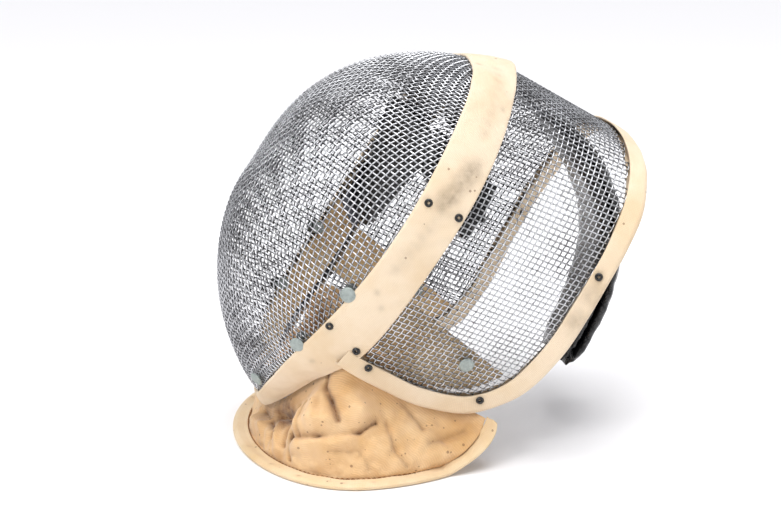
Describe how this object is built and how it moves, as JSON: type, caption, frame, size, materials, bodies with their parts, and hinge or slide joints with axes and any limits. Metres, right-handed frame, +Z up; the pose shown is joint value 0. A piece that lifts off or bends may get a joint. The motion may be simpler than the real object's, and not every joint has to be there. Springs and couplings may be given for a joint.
{
  "type": "fencing mask",
  "caption": "Vintage wire-mesh fencing mask with cloth-bound seam band and rim, riveted fittings, sprung padded back tongue and a slack canvas throat bib.",
  "frame": {"origin": "on the floor under the middle of the part, which lies tilted back on its bib as it is put down", "axes": "+Z up, -Y the way the mask looks, +X the wearer's left"},
  "size_m": [0.206, 0.2635, 0.2473],
  "materials": {
    "wire_steel": "galvanised woven wire",
    "spring_steel": "blued spring steel",
    "cream_canvas": "aged cream canvas",
    "bib_canvas": "slack cotton twill",
    "bib_binding_tape": "folded cotton tape",
    "lining_canvas": "cotton lining",
    "black_leathercloth": "glossy wrinkled leathercloth",
    "zinc_disc": "dull zinc",
    "blackened_rivet": "worn black enamel"
  },
  "bodies": {
    "mask": {"band_rivet_left_1": "blackened_rivet", "band_rivet_left_2": "blackened_rivet", "band_rivet_left_3": "blackened_rivet", "band_rivet_left_4": "blackened_rivet", "band_rivet_right_1": "blackened_rivet", "band_rivet_right_2": "blackened_rivet", "band_rivet_right_3": "blackened_rivet", "band_rivet_right_4": "blackened_rivet", "chin_lining_left": "lining_canvas", "chin_lining_right": "lining_canvas", "disc_rivet_left_1": "zinc_disc", "disc_rivet_left_2": "zinc_disc", "disc_rivet_left_3": "zinc_disc", "disc_rivet_right_1": "zinc_disc", "disc_rivet_right_2": "zinc_disc", "disc_rivet_right_3": "zinc_disc", "disc_washer_left_1": "zinc_disc", "disc_washer_left_2": "zinc_disc", "disc_washer_left_3": "zinc_disc", "disc_washer_right_1": "zinc_disc", "disc_washer_right_2": "zinc_disc", "disc_washer_right_3": "zinc_disc", "forehead_pad": "black_leathercloth", "front_mesh": "wire_steel", "jaw_disc_rivet_left": "zinc_disc", "jaw_disc_rivet_right": "zinc_disc", "jaw_disc_washer_left": "zinc_disc", "jaw_disc_washer_right": "zinc_disc", "jaw_lining_left": "lining_canvas", "jaw_lining_right": "lining_canvas", "rear_mesh": "wire_steel", "rim_binding": "cream_canvas", "rim_rivet_left_1": "blackened_rivet", "rim_rivet_left_2": "blackened_rivet", "rim_rivet_left_3": "blackened_rivet", "rim_rivet_right_1": "blackened_rivet", "rim_rivet_right_2": "blackened_rivet", "rim_rivet_right_3": "blackened_rivet", "rim_rod": "spring_steel", "seam_band": "cream_canvas", "seam_strip": "spring_steel", "temple_pad_left": "black_leathercloth", "temple_pad_right": "black_leathercloth", "tongue_anchor": "spring_steel"},
    "tongue": {"tongue_pad_back": "black_leathercloth", "tongue_pad_front": "black_leathercloth", "tongue_spring": "spring_steel"},
    "bib": {"bib_binding": "bib_binding_tape", "bib_panel": "bib_canvas", "bib_tail_left": "bib_binding_tape", "bib_tail_right": "bib_binding_tape"}
  },
  "joints": [
    {"name": "tongue_flex", "type": "hinge", "parent": "mask", "child": "tongue", "pos_m": [0, 0.0734, 0.2111], "axis": [1, 0, 0], "range_deg": [-12, 17], "stiffness_Nm_per_rad": 5},
    {"name": "bib_swing", "type": "hinge", "parent": "mask", "child": "bib", "pos_m": [0, 0.0263, 0.031], "axis": [1, 0, 0], "range_deg": [0, 30]}
  ]
}
